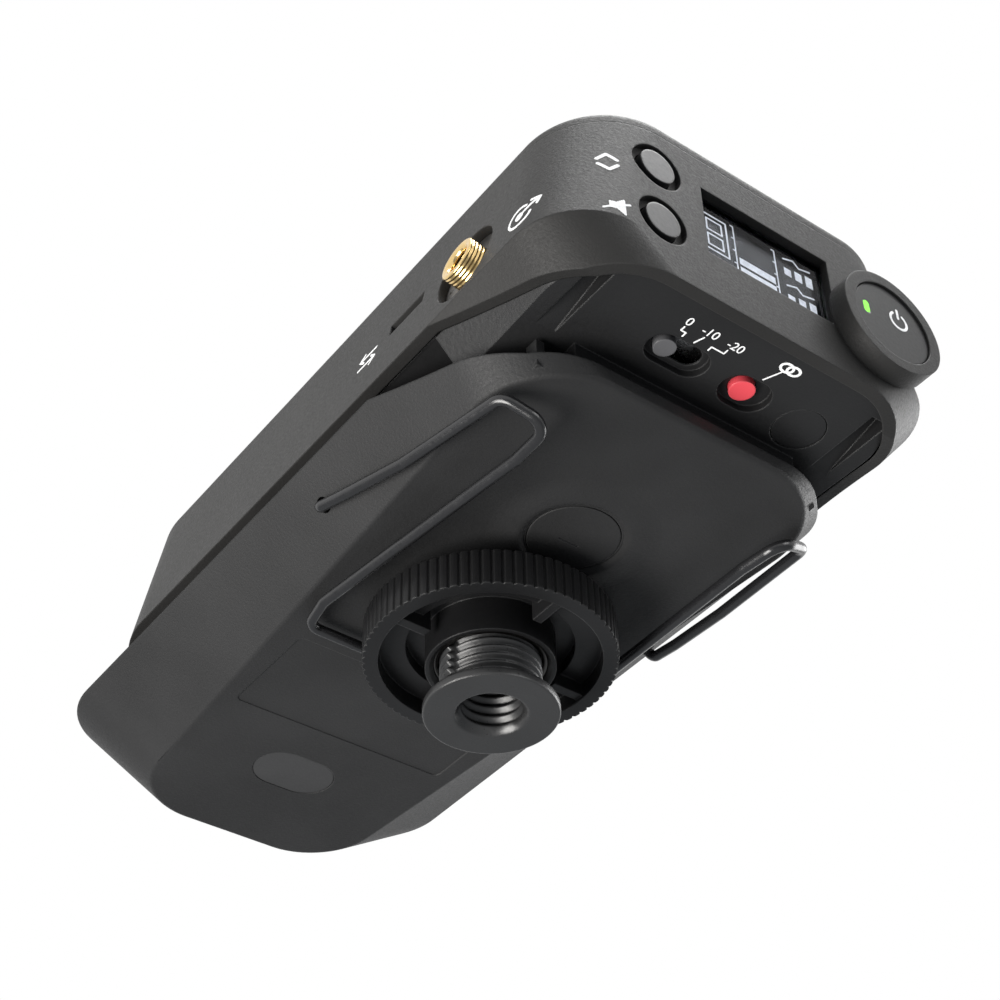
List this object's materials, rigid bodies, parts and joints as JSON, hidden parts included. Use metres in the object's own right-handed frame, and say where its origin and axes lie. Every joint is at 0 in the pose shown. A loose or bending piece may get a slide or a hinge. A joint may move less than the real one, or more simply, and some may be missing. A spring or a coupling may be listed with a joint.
{
  "type": "camera-mount wireless audio receiver",
  "caption": "Small rounded pack with a sliding battery door, a camera shoe foot with a knurled locking wheel, a wire belt clip, an end display and keys, and a gilt audio socket.",
  "frame": {"origin": "centre of the camera foot's lower face, at the mouth of its tapped hole", "axes": "+Z from the foot through the pack, -Y towards the display end, -X towards the audio and data sockets"},
  "size_m": [0.0654, 0.1353, 0.0517],
  "materials": {
    "door_plastic": "fine-grained moulded",
    "pad_rubber": "soft matte",
    "foot_metal": "satin black",
    "plate_steel": "plain",
    "screw_steel": "plain",
    "wheel_plastic": "knurled, satin",
    "insert_brass": "dark",
    "spring_steel": "plain",
    "clip_wire": "gloss black",
    "body_plastic": "fine-grained moulded",
    "chassis_plastic": "fine-grained moulded",
    "lens_glass": "clear",
    "display_panel": "dark screen",
    "key_plastic": "satin",
    "light_green": "translucent",
    "jack_gold": "gilt",
    "jack_grey": "satin",
    "jack_black": "moulded",
    "usb_steel": "plain",
    "switch_steel": "plain",
    "knob_plastic": "satin",
    "pair_red": "satin",
    "board_green": "solder mask",
    "can_steel": "plain",
    "antenna_brass": "plain",
    "cell_sleeve": "plain sleeve"
  },
  "bodies": {
    "door": {"battery_door": "door_plastic", "door_pad": "pad_rubber", "foot": "foot_metal", "foot_plate": "plate_steel", "foot_screws": "screw_steel"},
    "housing": {"housing_shell": "body_plastic", "top_shell": "body_plastic", "rear_chassis": "chassis_plastic", "display_lens": "lens_glass", "display_module": "display_panel", "power_ring": "body_plastic", "jack_bushing": "jack_gold", "jack_plate": "jack_grey", "jack_body": "jack_black", "usb_socket": "usb_steel", "level_switch": "switch_steel", "port_cap": "chassis_plastic", "main_board": "board_green", "board_parts": "can_steel", "key_board": "board_green", "key_switches": "switch_steel", "control_board": "board_green", "antenna_left": "antenna_brass", "antenna_right": "antenna_brass", "battery_cell_left": "cell_sleeve", "battery_cell_right": "cell_sleeve", "battery_springs": "spring_steel", "battery_plates": "spring_steel", "case_screws": "screw_steel", "board_spacers": "spring_steel"},
    "clip": {"belt_clip": "clip_wire"},
    "wheel_carrier": {"wheel_insert": "insert_brass"},
    "wheel": {"shoe_wheel": "wheel_plastic"},
    "latch": {"release_button": "door_plastic", "release_spring": "spring_steel"},
    "power_key": {"power_button": "key_plastic", "power_light_pipe": "light_green"},
    "channel_key": {"channel_button": "key_plastic"},
    "mute_key": {"mute_button": "key_plastic"},
    "pair_key": {"pair_button": "pair_red"},
    "level_slider": {"level_knob": "knob_plastic"}
  },
  "joints": [
    {"name": "door_slide", "type": "slide", "parent": "door", "child": "housing", "axis": [0, 0.9889, -0.1487], "range_m": [0, 0.01345]},
    {"name": "clip_swing", "type": "hinge", "parent": "door", "child": "clip", "pos_m": [0, -0.0009, 0.0224], "axis": [1, 0, 0], "range_deg": [0, 2], "stiffness_Nm_per_rad": 20},
    {"name": "wheel_travel", "type": "slide", "parent": "door", "child": "wheel_carrier", "axis": [0, 0, 1], "range_m": [-0.0055, 0]},
    {"name": "wheel_spin", "type": "hinge", "parent": "wheel_carrier", "child": "wheel", "pos_m": [0, 0, 0.011], "axis": [0, 0, 1], "range_deg": [-1584, 0]},
    {"name": "latch_press", "type": "slide", "parent": "door", "child": "latch", "axis": [0, 0, 1], "range_m": [0, 0.0005], "stiffness_N_per_m": 900},
    {"name": "power_press", "type": "slide", "parent": "housing", "child": "power_key", "axis": [0, 1, 0], "range_m": [0, 0.0006], "stiffness_N_per_m": 1500},
    {"name": "channel_press", "type": "slide", "parent": "housing", "child": "channel_key", "axis": [0, 1, 0], "range_m": [0, 0.0006], "stiffness_N_per_m": 1500},
    {"name": "mute_press", "type": "slide", "parent": "housing", "child": "mute_key", "axis": [0, 1, 0], "range_m": [0, 0.0006], "stiffness_N_per_m": 1500},
    {"name": "pair_press", "type": "slide", "parent": "housing", "child": "pair_key", "axis": [0, 0, 1], "range_m": [0, 0.0006], "stiffness_N_per_m": 1500},
    {"name": "level_slide", "type": "slide", "parent": "housing", "child": "level_slider", "axis": [1, 0, 0], "range_m": [0, 0.004]}
  ],
  "couplings": [
    {"joint": "wheel_travel", "follows": "wheel_spin", "m_per_rad": 0.00019894}
  ]
}
